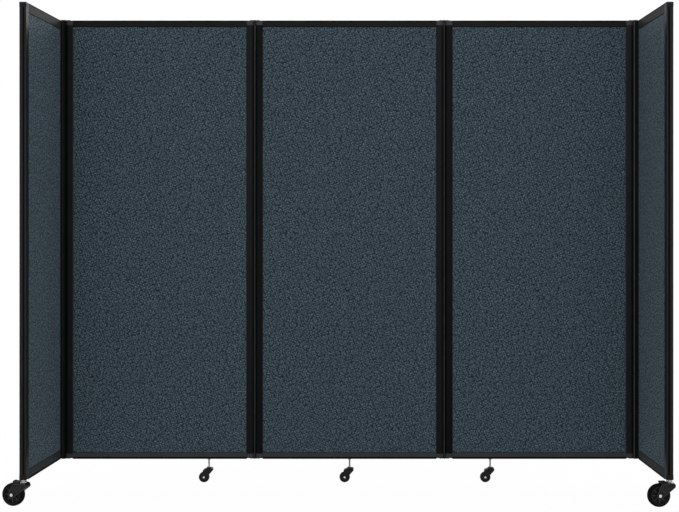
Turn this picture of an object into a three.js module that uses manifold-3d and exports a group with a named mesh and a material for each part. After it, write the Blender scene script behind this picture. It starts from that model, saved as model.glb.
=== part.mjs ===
// Folding privacy screen on wheels: three wide panels in line and a narrow wing at each end.
// Units are millimetres and +Z is up. The wings reach towards -Y, the side that the photo shows.

import * as THREE from 'three';
import { mergeVertices } from 'three/addons/utils/BufferGeometryUtils.js';
import Module from 'manifold-3d';

const wasm = await Module();
wasm.setup();

// Whole screen

const panelPitch = 838;
const panelHeight = 1932;
const wingReach = 470;
const wingSplayDegrees = 2.6;
const floorGap = 108;
const frameThick = 28;
const fitGap = 0.3;

// Hinge line between two panels

const hinge = {
  seamGap: 2,
  pinRadius: 3,
  pinLength: 14,
  plateThick: 3,
  plateEnd: 6,
  webThick: 3,
  webDepth: 24,
  flangeThick: 2.5,
  stripClear: 0.5,
  cornerExtra: 14,
};
const noseRadius = frameThick / 2;
const pivotOffset = hinge.seamGap + noseRadius;

// Upright stiles and the slot that takes the panel

const stile = {
  face: 33,
  wall: 2.4,
  edge: 1.4,
  grooveWide: 2.4,
  grooveDeep: 1.1,
  grooveBeyondPivot: 3,
  endGrooveWide: 8,
  endGrooveDeep: 2.4,
  endGrooveInward: 4,
  bossRadius: 7,
  noseChamberDegrees: 76,
  cornerRadius: 3.5,
};
const slotDepth = 10;
const slotInset = 8;

// Rails

const rail = {
  bottomDrop: 3,
  thick: 27,
  wall: 2.2,
  edge: 1.2,
};

const widePanelRails = { top: 26, bottom: 27 };
const wingRails = { top: 37, bottom: 39 };

// Core board and fabric sleeve

const coreThick = 5;
const fabricThick = 1.2;
const sleeveSideWall = 1.5;
const sleeveCorner = 2;
const coreShort = 2;
const sleeveThick = coreThick + 2 * (fitGap + fabricThick);
const slotWidth = sleeveThick + 2 * fitGap;

// Casters. A circle is its place along the fork, its height and its radius.

const sideCasterFromSeam = 203;

const smallCaster = {
  wheelRadius: 23,
  wheelWidth: 18,
  trail: 21.6,
  treadRound: 3,
  dishWide: 13,
  dishDeep: 1.6,
  hubRadius: 6.5,
  axleRadius: 3,
  axleHeadRadius: 4.6,
  axleHeadThick: 1.6,
  wheelClear: 2.5,
  sideClear: 0.8,
  legThick: 2.6,
  bossRadius: 9,
  shoulderBack: 19,
  shoulderHeight: 50,
  shoulderRadius: 7.5,
  noseAhead: 9.5,
  noseHeight: 56.5,
  noseRadius: 8.5,
  seatBack: 4,
  seatRadius: 5,
  stemRadius: 3.6,
  stemInFork: 14,
  collarRadius: 6.2,
  collarThick: 3,
  headRadius: 8,
  headThick: 5,
};

const largeCaster = {
  wheelRadius: 46.5,
  wheelWidth: 26,
  trail: 45,
  tyreDeep: 9,
  tyreRound: 5,
  tyreKey: 2,
  tyreKeyWide: 8,
  webThick: 8,
  hubRadius: 11,
  axleRadius: 4,
  axleHeadRadius: 6.5,
  axleHeadThick: 2.4,
  wheelClear: 3,
  sideClear: 1,
  legThick: 3.6,
  bossRadius: 14,
  shoulderBack: 35,
  shoulderHeight: 85,
  shoulderRadius: 8,
  noseAhead: 9,
  noseHeight: 85,
  noseRadius: 12,
  seatClear: 2,
  stemRadius: 5.5,
  stemInFork: 15,
  collarRadius: 13,
  collarThick: 2,
  nutRadius: 9.5,
  plugLength: 42,
  pedalBack: 22,
  pedalHeight: 97,
  pedalLugRadius: 5,
  pedalBarrelRadius: 4.4,
  pedalStubRadius: 2.3,
  pedalStubLength: 4.5,
  pedalWide: 21,
  pedalReach: 18,
  pedalTipRadius: 3.8,
  pedalLiftDegrees: 8,
  pedalSlotClear: 1.2,
};

const leftCasterTurnDegrees = -14;
const rightCasterTurnDegrees = 9;

// Facets round each kind of curve

const noseSides = 14;
const boreSides = 16;
const plateSides = 8;
const hullSides = 24;
const wheelSides = 32;
const turnedSides = 18;

// Colours and finishes

const finishes = {
  frame: { color: 0x191a1c, roughness: 0.42, metalness: 0.35 },
  rail: { color: 0x1d1e20, roughness: 0.45, metalness: 0.35 },
  link: { color: 0x1b1b1d, roughness: 0.5, metalness: 0.2 },
  core: { color: 0x9a8f7d, roughness: 0.9, metalness: 0 },
  fabric: { color: 0x333f46, roughness: 0.95, metalness: 0 },
  steel: { color: 0xb4b6b8, roughness: 0.3, metalness: 1 },
  fork: { color: 0x121214, roughness: 0.45, metalness: 0.1 },
  wheel: { color: 0x1a1a1c, roughness: 0.5, metalness: 0 },
  tyre: { color: 0x101011, roughness: 0.8, metalness: 0 },
};

// Shape helpers

function arcPoints(cx, cy, radius, from, to, sides) {
  const points = [];
  for (let i = 0; i <= sides; i += 1) {
    const angle = from + ((to - from) * i) / sides;
    points.push(new THREE.Vector2(cx + radius * Math.cos(angle), cy + radius * Math.sin(angle)));
  }
  return points;
}

function circlePoints(cx, cy, radius, sides) {
  return arcPoints(cx, cy, radius, 0, 2 * Math.PI, sides).slice(0, sides);
}

function boxPoints(x0, y0, x1, y1) {
  return [
    new THREE.Vector2(x0, y0),
    new THREE.Vector2(x1, y0),
    new THREE.Vector2(x1, y1),
    new THREE.Vector2(x0, y1),
  ];
}

// Outline round a set of circles, each given as x, y and radius
function hullPoints(circles, sides) {
  const points = circles.flatMap(([x, y, r]) => circlePoints(x, y, r, sides));
  points.sort((a, b) => a.x - b.x || a.y - b.y);
  const turn = (o, a, b) => (a.x - o.x) * (b.y - o.y) - (a.y - o.y) * (b.x - o.x);
  const half = (ordered) => {
    const kept = [];
    for (const p of ordered) {
      while (kept.length > 1 && turn(kept[kept.length - 2], kept[kept.length - 1], p) <= 0) {
        kept.pop();
      }
      kept.push(p);
    }
    kept.pop();
    return kept;
  };
  return [...half(points), ...half([...points].reverse())];
}

// The outline is put in counterclockwise order, which the extruder needs to turn holes the right way
function shapeOf(points, holes = []) {
  const outline = THREE.ShapeUtils.isClockWise(points) ? [...points].reverse() : points;
  const shape = new THREE.Shape(outline);
  for (const hole of holes) {
    shape.holes.push(new THREE.Path(hole));
  }
  return shape;
}

function mirrored(points) {
  return points.map((p) => new THREE.Vector2(-p.x, p.y));
}

function extrudeUp(shape, height, bottom = 0) {
  const geometry = new THREE.ExtrudeGeometry(shape, { depth: height, bevelEnabled: false, steps: 1 });
  return geometry.translate(0, 0, bottom);
}

// The shape's x and y become y and z, and the length runs along x from start
function extrudeAlong(shape, length, start = 0) {
  const geometry = new THREE.ExtrudeGeometry(shape, { depth: length, bevelEnabled: false, steps: 1 });
  const axes = new THREE.Matrix4().makeBasis(
    new THREE.Vector3(0, 1, 0),
    new THREE.Vector3(0, 0, 1),
    new THREE.Vector3(1, 0, 0),
  );
  return geometry.applyMatrix4(axes).translate(start, 0, 0);
}

// A side view in x and z, given its width about y = 0
function extrudeSideView(shape, width) {
  const geometry = new THREE.ExtrudeGeometry(shape, { depth: width, bevelEnabled: false, steps: 1 });
  return geometry.rotateX(Math.PI / 2).translate(0, width / 2, 0);
}

// Radius and distance pairs, turned about z
function turnedUp(pairs, sides = turnedSides) {
  return turnedAcross(pairs, sides).rotateX(Math.PI / 2);
}

// Radius and distance pairs, turned about y
function turnedAcross(pairs, sides = turnedSides) {
  const points = pairs.map(([r, d]) => new THREE.Vector2(r, d));
  points.push(points[0].clone());
  return new THREE.LatheGeometry(points, sides);
}

function rodUp(radius, bottom, top, x = 0, sides = boreSides) {
  const rod = new THREE.CylinderGeometry(radius, radius, top - bottom, sides);
  return rod.rotateX(Math.PI / 2).translate(x, 0, (bottom + top) / 2);
}

function rodAcross(radius, length, x, z, sides = boreSides) {
  return new THREE.CylinderGeometry(radius, radius, length, sides).translate(x, 0, z);
}

function block(x0, y0, z0, x1, y1, z1) {
  const box = new THREE.BoxGeometry(x1 - x0, y1 - y0, z1 - z0);
  return box.translate((x0 + x1) / 2, (y0 + y1) / 2, (z0 + z1) / 2);
}

// Solid helpers

function solid(geometry) {
  const bare = geometry.clone();
  bare.deleteAttribute('normal');
  bare.deleteAttribute('uv');
  const merged = mergeVertices(bare);
  const index = merged.index.array;
  const kept = [];
  for (let i = 0; i < index.length; i += 3) {
    const [a, b, c] = [index[i], index[i + 1], index[i + 2]];
    if (a !== b && b !== c && c !== a) {
      kept.push(a, b, c);
    }
  }
  const vertProperties = new Float32Array(merged.attributes.position.array);
  const triVerts = new Uint32Array(kept);
  return new wasm.Manifold(new wasm.Mesh({ numProp: 3, vertProperties, triVerts }));
}

function geometryOf(manifold) {
  const mesh = manifold.getMesh();
  const geometry = new THREE.BufferGeometry();
  geometry.setAttribute('position', new THREE.BufferAttribute(new Float32Array(mesh.vertProperties), 3));
  geometry.setIndex(new THREE.BufferAttribute(new Uint32Array(mesh.triVerts), 1));
  geometry.computeVertexNormals();
  return geometry;
}

function joined(...geometries) {
  return geometries.map(solid).reduce((a, b) => a.add(b));
}

function cut(manifold, ...geometries) {
  return geometries.map(solid).reduce((a, b) => a.subtract(b), manifold);
}

function addMesh(parent, name, geometry, finish) {
  const mesh = new THREE.Mesh(geometry, new THREE.MeshStandardMaterial({ ...finishes[finish] }));
  mesh.name = name;
  parent.add(mesh);
  return mesh;
}

function addGroup(parent, name) {
  const group = new THREE.Group();
  group.name = name;
  parent.add(group);
  return group;
}

// Slot side of a stile, from its front face round to its back face
function slotSide(edge) {
  const half = frameThick / 2;
  return [
    new THREE.Vector2(edge - stile.edge, -half),
    new THREE.Vector2(edge, -half + stile.edge),
    new THREE.Vector2(edge, -slotWidth / 2),
    new THREE.Vector2(edge - slotDepth, -slotWidth / 2),
    new THREE.Vector2(edge - slotDepth, slotWidth / 2),
    new THREE.Vector2(edge, slotWidth / 2),
    new THREE.Vector2(edge, half - stile.edge),
    new THREE.Vector2(edge - stile.edge, half),
  ];
}

function faceGroove(x, side) {
  const half = frameThick / 2;
  return [
    new THREE.Vector2(x - stile.grooveWide / 2, side * half),
    new THREE.Vector2(x - stile.grooveWide / 2, side * (half - stile.grooveDeep)),
    new THREE.Vector2(x + stile.grooveWide / 2, side * (half - stile.grooveDeep)),
    new THREE.Vector2(x + stile.grooveWide / 2, side * half),
  ];
}

// Stile with a round nose about its hinge pin. The seam is at x = 0.
function hingeStile(side) {
  const edge = hinge.seamGap + stile.face;
  const grooveX = pivotOffset + stile.grooveBeyondPivot;
  const outline = [
    ...arcPoints(pivotOffset, 0, noseRadius, Math.PI / 2, Math.PI * 1.5, noseSides),
    ...faceGroove(grooveX, -1),
    ...slotSide(edge),
    ...faceGroove(grooveX, 1).reverse(),
  ];
  const spread = THREE.MathUtils.degToRad(stile.noseChamberDegrees);
  const chamberRadius = noseRadius - stile.wall;
  const noseChamber = [
    ...arcPoints(pivotOffset, 0, chamberRadius, Math.PI - spread, Math.PI + spread, noseSides),
    ...arcPoints(pivotOffset, 0, stile.bossRadius, Math.PI + spread, Math.PI - spread, noseSides),
  ];
  const near = slotWidth / 2 + stile.wall;
  const far = frameThick / 2 - stile.wall;
  const start = grooveX + stile.grooveWide / 2;
  const holes = [
    circlePoints(pivotOffset, 0, hinge.pinRadius + fitGap, boreSides),
    noseChamber,
    boxPoints(start, near, edge - stile.wall, far),
    boxPoints(start, -far, edge - stile.wall, -near),
  ];
  const place = (points) => (side > 0 ? points : mirrored(points));
  return extrudeUp(shapeOf(place(outline), holes.map(place)), panelHeight);
}

// Stile at a wing's free end. Its end face is at x = 0, with a groove nearer to the wing's inner face.
function endStile(side) {
  const half = frameThick / 2;
  const round = stile.cornerRadius;
  const edge = stile.face;
  const grooveBack = stile.endGrooveWide / 2 - stile.endGrooveInward;
  const grooveFront = -stile.endGrooveWide / 2 - stile.endGrooveInward;
  const outline = [
    ...arcPoints(round, half - round, round, Math.PI / 2, Math.PI, plateSides),
    new THREE.Vector2(0, grooveBack),
    new THREE.Vector2(stile.endGrooveDeep, grooveBack),
    new THREE.Vector2(stile.endGrooveDeep, grooveFront),
    new THREE.Vector2(0, grooveFront),
    ...arcPoints(round, round - half, round, Math.PI, Math.PI * 1.5, plateSides),
    ...slotSide(edge),
  ];
  const chamber = boxPoints(
    stile.endGrooveDeep + stile.wall,
    stile.wall - half,
    edge - slotDepth - stile.wall,
    half - stile.wall,
  );
  const place = (points) => (side > 0 ? points : mirrored(points));
  return extrudeUp(shapeOf(place(outline), [place(chamber)]), panelHeight);
}

const endChamberMiddle = (stile.endGrooveDeep + stile.face - slotDepth) / 2;
const endChamberWide = stile.face - slotDepth - stile.endGrooveDeep - 2 * stile.wall;

// Rail section with its slot at the bottom, or at the top when up is -1
function railShape(height, up) {
  const half = rail.thick / 2;
  const start = up > 0 ? 0 : height;
  const at = (y, z) => new THREE.Vector2(y, start + up * z);
  const outline = [
    at(-half, 0),
    at(-slotWidth / 2, 0),
    at(-slotWidth / 2, slotDepth),
    at(slotWidth / 2, slotDepth),
    at(slotWidth / 2, 0),
    at(half, 0),
    at(half, height - rail.edge),
    at(half - rail.edge, height),
    at(rail.edge - half, height),
    at(-half, height - rail.edge),
  ];
  const chamber = [
    at(rail.wall - half, slotDepth + rail.wall),
    at(half - rail.wall, slotDepth + rail.wall),
    at(half - rail.wall, height - rail.wall),
    at(rail.wall - half, height - rail.wall),
  ];
  return shapeOf(outline, [chamber]);
}

// One framed panel. Its left end is x = 0 and its stiles stand on z = 0.
function addPanel(parent, name, length, [leftEnd, rightEnd], rails, casterAt = 0) {
  const edgeOf = (end) => (end === 'hinge' ? hinge.seamGap + stile.face : stile.face);
  const stileOf = (end, side) => (end === 'hinge' ? hingeStile(side) : endStile(side));
  const left = edgeOf(leftEnd);
  const right = length - edgeOf(rightEnd);

  addMesh(parent, `${name}_left_stile`, stileOf(leftEnd, 1), 'frame');
  addMesh(parent, `${name}_right_stile`, stileOf(rightEnd, -1).translate(length, 0, 0), 'frame');

  const railStart = left + fitGap;
  const railLength = right - left - 2 * fitGap;
  const topBottom = panelHeight - rails.top;
  const topRail = extrudeAlong(railShape(rails.top, 1), railLength, railStart);
  addMesh(parent, `${name}_top_rail`, topRail.translate(0, 0, topBottom), 'rail');

  const bottomRail = extrudeAlong(railShape(rails.bottom, -1), railLength, railStart);
  bottomRail.translate(0, 0, -rail.bottomDrop);
  if (casterAt > 0) {
    const hole = rodUp(
      smallCaster.stemRadius + fitGap,
      -rail.bottomDrop - rail.wall,
      rail.wall + fitGap - rail.bottomDrop,
      casterAt,
    );
    addMesh(parent, `${name}_bottom_rail`, geometryOf(cut(solid(bottomRail), hole)), 'rail');
  } else {
    addMesh(parent, `${name}_bottom_rail`, bottomRail, 'rail');
  }

  const sleeveBottom = rails.bottom - rail.bottomDrop - slotInset;
  const sleeveHeight = topBottom + slotInset - sleeveBottom;
  const x0 = left - slotInset;
  const x1 = right + slotInset;
  const corner = sleeveCorner;
  const side = sleeveThick / 2 - corner;
  const quarter = Math.PI / 2;
  const sleeve = [
    ...arcPoints(x0 + corner, -side, corner, 2 * quarter, 3 * quarter, plateSides / 2),
    ...arcPoints(x1 - corner, -side, corner, 3 * quarter, 4 * quarter, plateSides / 2),
    ...arcPoints(x1 - corner, side, corner, 0, quarter, plateSides / 2),
    ...arcPoints(x0 + corner, side, corner, quarter, 2 * quarter, plateSides / 2),
  ];
  const inside = coreThick / 2 + fitGap;
  const hollow = boxPoints(x0 + sleeveSideWall, -inside, x1 - sleeveSideWall, inside);
  const tube = extrudeUp(shapeOf(sleeve, [hollow]), sleeveHeight, sleeveBottom);
  addMesh(parent, `${name}_fabric`, tube, 'fabric');

  const core = block(
    x0 + sleeveSideWall + fitGap,
    -coreThick / 2,
    sleeveBottom + coreShort,
    x1 - sleeveSideWall - fitGap,
    coreThick / 2,
    sleeveBottom + sleeveHeight - coreShort,
  );
  addMesh(parent, `${name}_core`, core, 'core');
}

// Flanged web with a plate and two pins at each end, which joins two stiles and folds at both
function addLink(parent, name, extra) {
  const low = -fitGap - hinge.plateThick;
  const high = panelHeight + fitGap;
  const pinX = pivotOffset + extra / 2;
  const strip = pinX - noseRadius - hinge.stripClear;
  const depth = hinge.webDepth / 2;
  const plate = shapeOf(hullPoints([[-pinX, 0, hinge.plateEnd], [pinX, 0, hinge.plateEnd]], hullSides));
  const upright = (half, back, front) => block(-half, back, low, half, front, high + hinge.plateThick);
  const pieces = [
    upright(hinge.webThick / 2, -depth, depth),
    upright(strip, -depth, hinge.flangeThick - depth),
    upright(strip, depth - hinge.flangeThick, depth),
    extrudeUp(plate, hinge.plateThick, low),
    extrudeUp(plate, hinge.plateThick, high),
  ];
  for (const x of [-pinX, pinX]) {
    pieces.push(rodUp(hinge.pinRadius, low, hinge.pinLength, x));
    pieces.push(rodUp(hinge.pinRadius, panelHeight - hinge.pinLength, high + hinge.plateThick, x));
  }
  addMesh(parent, name, geometryOf(joined(...pieces)), 'link');
}

// Fork: a side view extruded across, with room for the wheel, the axle and the stem
function forkSolid(c, extraCircles) {
  const width = c.wheelWidth + 2 * (c.sideClear + c.legThick);
  const top = c.noseHeight + c.noseRadius;
  const view = hullPoints([
    [-c.trail, c.wheelRadius, c.bossRadius],
    [-c.shoulderBack, c.shoulderHeight, c.shoulderRadius],
    [c.noseAhead, c.noseHeight, c.noseRadius],
    ...extraCircles,
  ], hullSides);
  const wheelRoom = rodAcross(
    c.wheelRadius + c.wheelClear,
    c.wheelWidth + 2 * c.sideClear,
    -c.trail,
    c.wheelRadius,
    wheelSides,
  );
  const axleHole = rodAcross(c.axleRadius + fitGap, 2 * width, -c.trail, c.wheelRadius);
  const stemHole = rodUp(c.stemRadius + fitGap, top - c.stemInFork, top + c.stemInFork);
  return cut(solid(extrudeSideView(shapeOf(view), width)), wheelRoom, axleHole, stemHole);
}

function addAxle(parent, name, c) {
  const half = c.wheelWidth / 2 + c.sideClear + c.legThick + fitGap;
  const axle = turnedAcross([
    [0, -half - c.axleHeadThick],
    [c.axleHeadRadius - c.axleHeadThick / 2, -half - c.axleHeadThick],
    [c.axleHeadRadius, -half - c.axleHeadThick / 2],
    [c.axleHeadRadius, -half],
    [c.axleRadius, -half],
    [c.axleRadius, half],
    [c.axleHeadRadius, half],
    [c.axleHeadRadius, half + c.axleHeadThick / 2],
    [c.axleHeadRadius - c.axleHeadThick / 2, half + c.axleHeadThick],
    [0, half + c.axleHeadThick],
  ]);
  addMesh(parent, name, geometryOf(solid(axle)).translate(-c.trail, 0, c.wheelRadius), 'steel');
}

function addSmallCaster(parent, name, x) {
  const c = smallCaster;
  const caster = addGroup(parent, `${name}_caster_mount`);
  caster.position.set(x, 0, -floorGap);

  const forkTop = c.noseHeight + c.noseRadius;
  const railBottom = floorGap - rail.bottomDrop;
  const inside = railBottom + rail.wall + fitGap;
  const stem = turnedUp([
    [0, forkTop - c.stemInFork + fitGap],
    [c.stemRadius, forkTop - c.stemInFork + fitGap],
    [c.stemRadius, forkTop + fitGap],
    [c.collarRadius, forkTop + fitGap],
    [c.collarRadius, forkTop + fitGap + c.collarThick],
    [c.stemRadius, forkTop + fitGap + c.collarThick],
    [c.stemRadius, railBottom - fitGap - c.collarThick],
    [c.collarRadius, railBottom - fitGap - c.collarThick],
    [c.collarRadius, railBottom - fitGap],
    [c.stemRadius, railBottom - fitGap],
    [c.stemRadius, inside],
    [c.headRadius, inside],
    [c.headRadius, inside + c.headThick],
    [0, inside + c.headThick],
  ]);
  addMesh(caster, `${name}_caster_stem`, geometryOf(solid(stem)), 'steel');

  const swivel = addGroup(caster, `${name}_caster_swivel`);
  const fork = forkSolid(c, [[-c.seatBack, forkTop - c.seatRadius, c.seatRadius]]);
  addMesh(swivel, `${name}_caster_fork`, geometryOf(fork), 'fork');
  addAxle(swivel, `${name}_caster_axle`, c);

  const half = c.wheelWidth / 2;
  const bore = c.axleRadius + fitGap;
  const round = c.treadRound;
  const wheel = turnedAcross([
    [bore, -half],
    [c.hubRadius, -half],
    [c.hubRadius, c.dishDeep - half],
    [c.dishWide, c.dishDeep - half],
    [c.dishWide + c.dishDeep, -half],
    [c.wheelRadius - round, -half],
    [c.wheelRadius - round * (1 - Math.SQRT1_2), round * (1 - Math.SQRT1_2) - half],
    [c.wheelRadius, round - half],
    [c.wheelRadius, half - round],
    [c.wheelRadius - round * (1 - Math.SQRT1_2), half - round * (1 - Math.SQRT1_2)],
    [c.wheelRadius - round, half],
    [c.dishWide + c.dishDeep, half],
    [c.dishWide, half - c.dishDeep],
    [c.hubRadius, half - c.dishDeep],
    [c.hubRadius, half],
    [bore, half],
  ], wheelSides);
  const spin = addGroup(swivel, `${name}_wheel_spin`);
  spin.position.set(-c.trail, 0, c.wheelRadius);
  addMesh(spin, `${name}_caster_wheel`, geometryOf(solid(wheel)), 'wheel');
}

// Foot pedal of a large caster, drawn about its own pivot
function pedalGeometry(c) {
  const lift = THREE.MathUtils.degToRad(c.pedalLiftDegrees);
  const tipX = -c.pedalReach * Math.cos(lift);
  const tipZ = c.pedalReach * Math.sin(lift);
  const view = hullPoints([[0, 0, c.pedalBarrelRadius], [tipX, tipZ, c.pedalTipRadius]], hullSides);
  return geometryOf(joined(
    extrudeSideView(shapeOf(view), c.pedalWide),
    rodAcross(c.pedalStubRadius, c.pedalWide + 2 * c.pedalStubLength, 0, 0),
  ));
}

function addLargeCaster(parent, name, x, turnDegrees) {
  const c = largeCaster;
  const caster = addGroup(parent, `${name}_caster_mount`);
  caster.position.set(x, 0, -floorGap);

  const forkTop = c.noseHeight + c.noseRadius;
  const plug = endChamberWide / 2 - fitGap;
  const plugTop = floorGap + c.plugLength;
  const stem = turnedUp([
    [0, forkTop - c.stemInFork + fitGap],
    [c.stemRadius, forkTop - c.stemInFork + fitGap],
    [c.stemRadius, forkTop + fitGap],
    [c.collarRadius, forkTop + fitGap],
    [c.collarRadius, forkTop + fitGap + c.collarThick],
    [c.nutRadius, forkTop + fitGap + c.collarThick],
    [c.nutRadius, floorGap - fitGap],
    [plug, floorGap - fitGap],
    [plug, plugTop],
    [0, plugTop],
  ]);
  addMesh(caster, `${name}_caster_stem`, geometryOf(solid(stem)), 'steel');

  const swivel = addGroup(caster, `${name}_caster_swivel`);
  swivel.rotation.z = THREE.MathUtils.degToRad(turnDegrees);
  const slotRadius = c.pedalLugRadius + c.pedalSlotClear;
  const slotHalf = c.pedalWide / 2 + fitGap;
  const seatBack = c.collarRadius + c.seatClear;
  const seatHalf = c.wheelWidth / 2 + c.sideClear + c.legThick + c.seatClear;
  const fork = cut(
    forkSolid(c, [[-c.pedalBack, c.pedalHeight, c.pedalLugRadius]]),
    block(-seatBack, -seatHalf, forkTop, c.noseAhead + c.noseRadius, seatHalf, forkTop + c.stemInFork),
    rodAcross(slotRadius, 2 * slotHalf, -c.pedalBack, c.pedalHeight, hullSides),
    block(
      -c.pedalBack - c.pedalReach - 2 * c.pedalTipRadius,
      -slotHalf,
      c.pedalHeight - c.pedalLugRadius,
      -c.pedalBack,
      slotHalf,
      c.pedalHeight + slotRadius,
    ),
    rodAcross(
      c.pedalStubRadius + fitGap,
      c.pedalWide + 2 * (c.pedalStubLength + fitGap),
      -c.pedalBack,
      c.pedalHeight,
    ),
  );
  addMesh(swivel, `${name}_caster_fork`, geometryOf(fork), 'fork');
  addAxle(swivel, `${name}_caster_axle`, c);

  const spin = addGroup(swivel, `${name}_wheel_spin`);
  spin.position.set(-c.trail, 0, c.wheelRadius);
  const rim = c.wheelRadius - c.tyreDeep;
  const half = c.wheelWidth / 2;
  const web = c.webThick / 2;
  const bore = c.axleRadius + fitGap;
  const rimWall = c.tyreKey + rail.wall;
  const keyHalf = c.tyreKeyWide / 2;
  const core = turnedAcross([
    [bore, -half],
    [c.hubRadius, -half],
    [c.hubRadius, -web],
    [rim - rimWall, -web],
    [rim - rimWall, -half],
    [rim, -half],
    [rim, -keyHalf],
    [rim + c.tyreKey, -keyHalf],
    [rim + c.tyreKey, keyHalf],
    [rim, keyHalf],
    [rim, half],
    [rim - rimWall, half],
    [rim - rimWall, web],
    [c.hubRadius, web],
    [c.hubRadius, half],
    [bore, half],
  ], wheelSides);
  addMesh(spin, `${name}_caster_wheel`, geometryOf(solid(core)), 'wheel');

  const inner = rim + fitGap;
  const round = c.tyreRound;
  const soft = round * (1 - Math.SQRT1_2);
  const tyre = turnedAcross([
    [inner, -half],
    [c.wheelRadius - round, -half],
    [c.wheelRadius - soft, soft - half],
    [c.wheelRadius, round - half],
    [c.wheelRadius, half - round],
    [c.wheelRadius - soft, half - soft],
    [c.wheelRadius - round, half],
    [inner, half],
    [inner, keyHalf + fitGap],
    [inner + c.tyreKey, keyHalf + fitGap],
    [inner + c.tyreKey, -keyHalf - fitGap],
    [inner, -keyHalf - fitGap],
  ], wheelSides);
  addMesh(spin, `${name}_caster_tyre`, geometryOf(solid(tyre)), 'tyre');

  const pedal = addGroup(swivel, `${name}_pedal_pivot`);
  pedal.position.set(-c.pedalBack, 0, c.pedalHeight);
  addMesh(pedal, `${name}_brake_pedal`, pedalGeometry(c), 'fork');
}

// Whole screen

const screen = new THREE.Group();
screen.name = 'privacy_screen';

const firstSeam = panelPitch / 2;
const cornerSeam = firstSeam + panelPitch;

const middlePanels = [
  { name: 'left', start: -cornerSeam, caster: panelPitch - sideCasterFromSeam },
  { name: 'centre', start: -firstSeam, caster: panelPitch / 2 },
  { name: 'right', start: firstSeam, caster: sideCasterFromSeam },
];
for (const { name, start, caster } of middlePanels) {
  const panel = addGroup(screen, `${name}_panel`);
  panel.position.set(start, 0, floorGap);
  addPanel(panel, name, panelPitch, ['hinge', 'hinge'], widePanelRails, caster);
  addSmallCaster(panel, name, caster);
}

const cornerLinkX = cornerSeam + hinge.cornerExtra / 2;
const seams = [
  { name: 'left_corner_link', x: -cornerLinkX, extra: hinge.cornerExtra },
  { name: 'left_link', x: -firstSeam, extra: 0 },
  { name: 'right_link', x: firstSeam, extra: 0 },
  { name: 'right_corner_link', x: cornerLinkX, extra: hinge.cornerExtra },
];
for (const { name, x, extra } of seams) {
  const link = addGroup(screen, `${name}_place`);
  link.position.set(x, 0, floorGap);
  addLink(link, name, extra);
}

const quarterTurnDegrees = 90;
const wingTurnDegrees = quarterTurnDegrees - wingSplayDegrees;
const wings = [
  { name: 'left_wing', side: -1, turn: leftCasterTurnDegrees, ends: ['end', 'hinge'] },
  { name: 'right_wing', side: 1, turn: rightCasterTurnDegrees, ends: ['hinge', 'end'] },
];
for (const { name, side, turn, ends } of wings) {
  const pivot = addGroup(screen, `${name}_pivot`);
  pivot.position.set(side * (cornerSeam + hinge.cornerExtra + pivotOffset), 0, floorGap);
  pivot.rotation.z = THREE.MathUtils.degToRad(-side * wingTurnDegrees);
  const panel = addGroup(pivot, `${name}_panel`);
  panel.position.x = side > 0 ? -pivotOffset : pivotOffset - wingReach;
  addPanel(panel, name, wingReach, ends, wingRails);
  const caster = side > 0 ? wingReach - endChamberMiddle : endChamberMiddle;
  addLargeCaster(panel, name, caster, side * wingTurnDegrees + turn);
}

// The row's origin is the middle of the underside of the whole box

screen.updateMatrixWorld(true);
const box = new THREE.Box3().setFromObject(screen, true);
screen.position.set(-(box.min.x + box.max.x) / 2, -(box.min.y + box.max.y) / 2, -box.min.z);
screen.updateMatrixWorld(true);

export default screen;
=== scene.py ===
import math

import bmesh
import bpy
from mathutils import Matrix, Vector
from mathutils.geometry import tessellate_polygon


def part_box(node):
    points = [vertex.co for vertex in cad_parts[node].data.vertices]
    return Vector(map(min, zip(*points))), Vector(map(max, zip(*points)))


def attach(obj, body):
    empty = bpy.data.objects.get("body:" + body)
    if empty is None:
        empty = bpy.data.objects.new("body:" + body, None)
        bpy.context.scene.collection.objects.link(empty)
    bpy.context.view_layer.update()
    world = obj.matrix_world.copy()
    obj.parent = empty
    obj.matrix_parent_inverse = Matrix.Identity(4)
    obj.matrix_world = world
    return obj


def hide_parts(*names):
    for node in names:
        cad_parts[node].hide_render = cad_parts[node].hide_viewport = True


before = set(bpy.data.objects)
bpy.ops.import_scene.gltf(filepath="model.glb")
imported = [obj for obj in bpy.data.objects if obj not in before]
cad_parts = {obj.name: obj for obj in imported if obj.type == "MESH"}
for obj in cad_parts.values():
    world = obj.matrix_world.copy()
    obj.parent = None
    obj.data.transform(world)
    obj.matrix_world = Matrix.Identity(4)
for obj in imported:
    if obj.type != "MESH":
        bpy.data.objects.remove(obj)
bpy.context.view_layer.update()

# Sizes of the solids in metres, as in the part's source

PITCH = 0.838                   # from seam to seam
HEIGHT = 1.932                  # of the stiles
REACH = 0.470                   # length of a wing
SPLAY = math.radians(2.6)       # how far each wing stops short of a right angle
GAP = 0.108                     # from the floor to the stiles' feet
THICK = 0.028                   # of the stiles
SEAM = 0.002                    # from a seam to a stile's nose
NOSE = THICK / 2                # radius of the nose
PIVOT = SEAM + NOSE             # from a seam to a hinge pin
CORNER = 0.014                  # how much longer a corner link is
FACE = 0.033                    # width of a stile
RAIL_THICK = 0.027
RAIL_DROP = 0.003               # how far the bottom rail hangs below the stiles' feet
WIDE_RAILS = (0.026, 0.027)     # heights of the top and the bottom rail
WING_RAILS = (0.037, 0.039)
INSET = 0.008                   # how deep the sleeve sits in the frame's slots

core_low, core_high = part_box("centre_core")
X0 = (core_low[0] + core_high[0]) / 2
Y0 = (core_low[1] + core_high[1]) / 2


# Body, length, and the kind of stile at the left and the right end of each panel

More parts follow.
